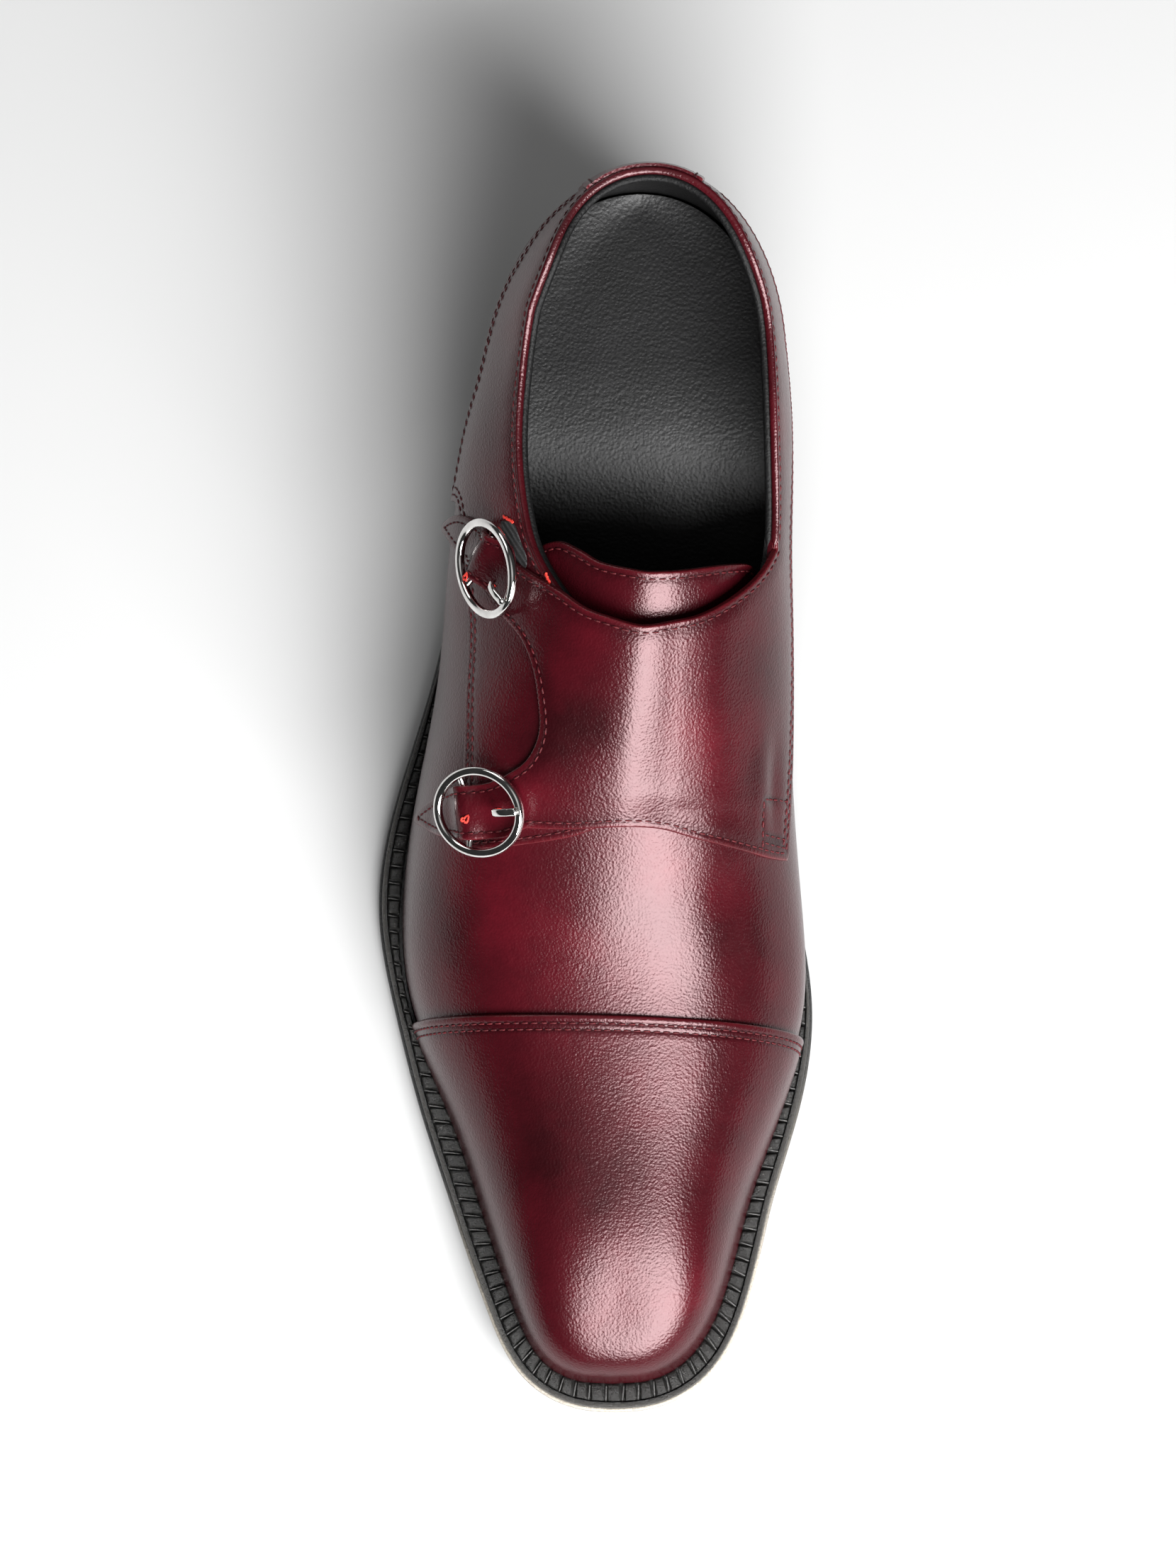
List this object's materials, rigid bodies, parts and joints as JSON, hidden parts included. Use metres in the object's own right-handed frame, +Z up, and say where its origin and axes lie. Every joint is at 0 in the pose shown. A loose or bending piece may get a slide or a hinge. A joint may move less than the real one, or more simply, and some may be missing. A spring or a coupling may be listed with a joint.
{
  "type": "double monk strap shoe",
  "caption": "Cap-toe leather dress shoe with a stacked heel and raised insole, closed over the instep by buckled monk straps.",
  "frame": {"origin": "on the floor, under the middle of the shoe's box", "axes": "-Y towards the toe, +Y towards the heel, +X towards the medial side of the foot, +Z up"},
  "size_m": [0.1086, 0.3, 0.1077],
  "materials": {
    "burgundy_leather": "waxed, burnished",
    "black_leather": "satin",
    "black_rubber": "matt",
    "polished_nickel": "polished"
  },
  "bodies": {
    "root": {"outsole": "black_leather", "heel_stack": "black_leather", "heel_top_lift": "black_rubber", "welt": "black_leather", "insole": "black_leather", "upper": "burgundy_leather", "toe_cap": "burgundy_leather", "back_strip": "burgundy_leather", "lateral_quarter": "burgundy_leather", "medial_quarter_with_straps": "burgundy_leather", "tongue": "burgundy_leather", "upper_buckle": "polished_nickel", "upper_prong": "polished_nickel", "lower_buckle": "polished_nickel", "lower_prong": "polished_nickel"}
  },
  "joints": []
}
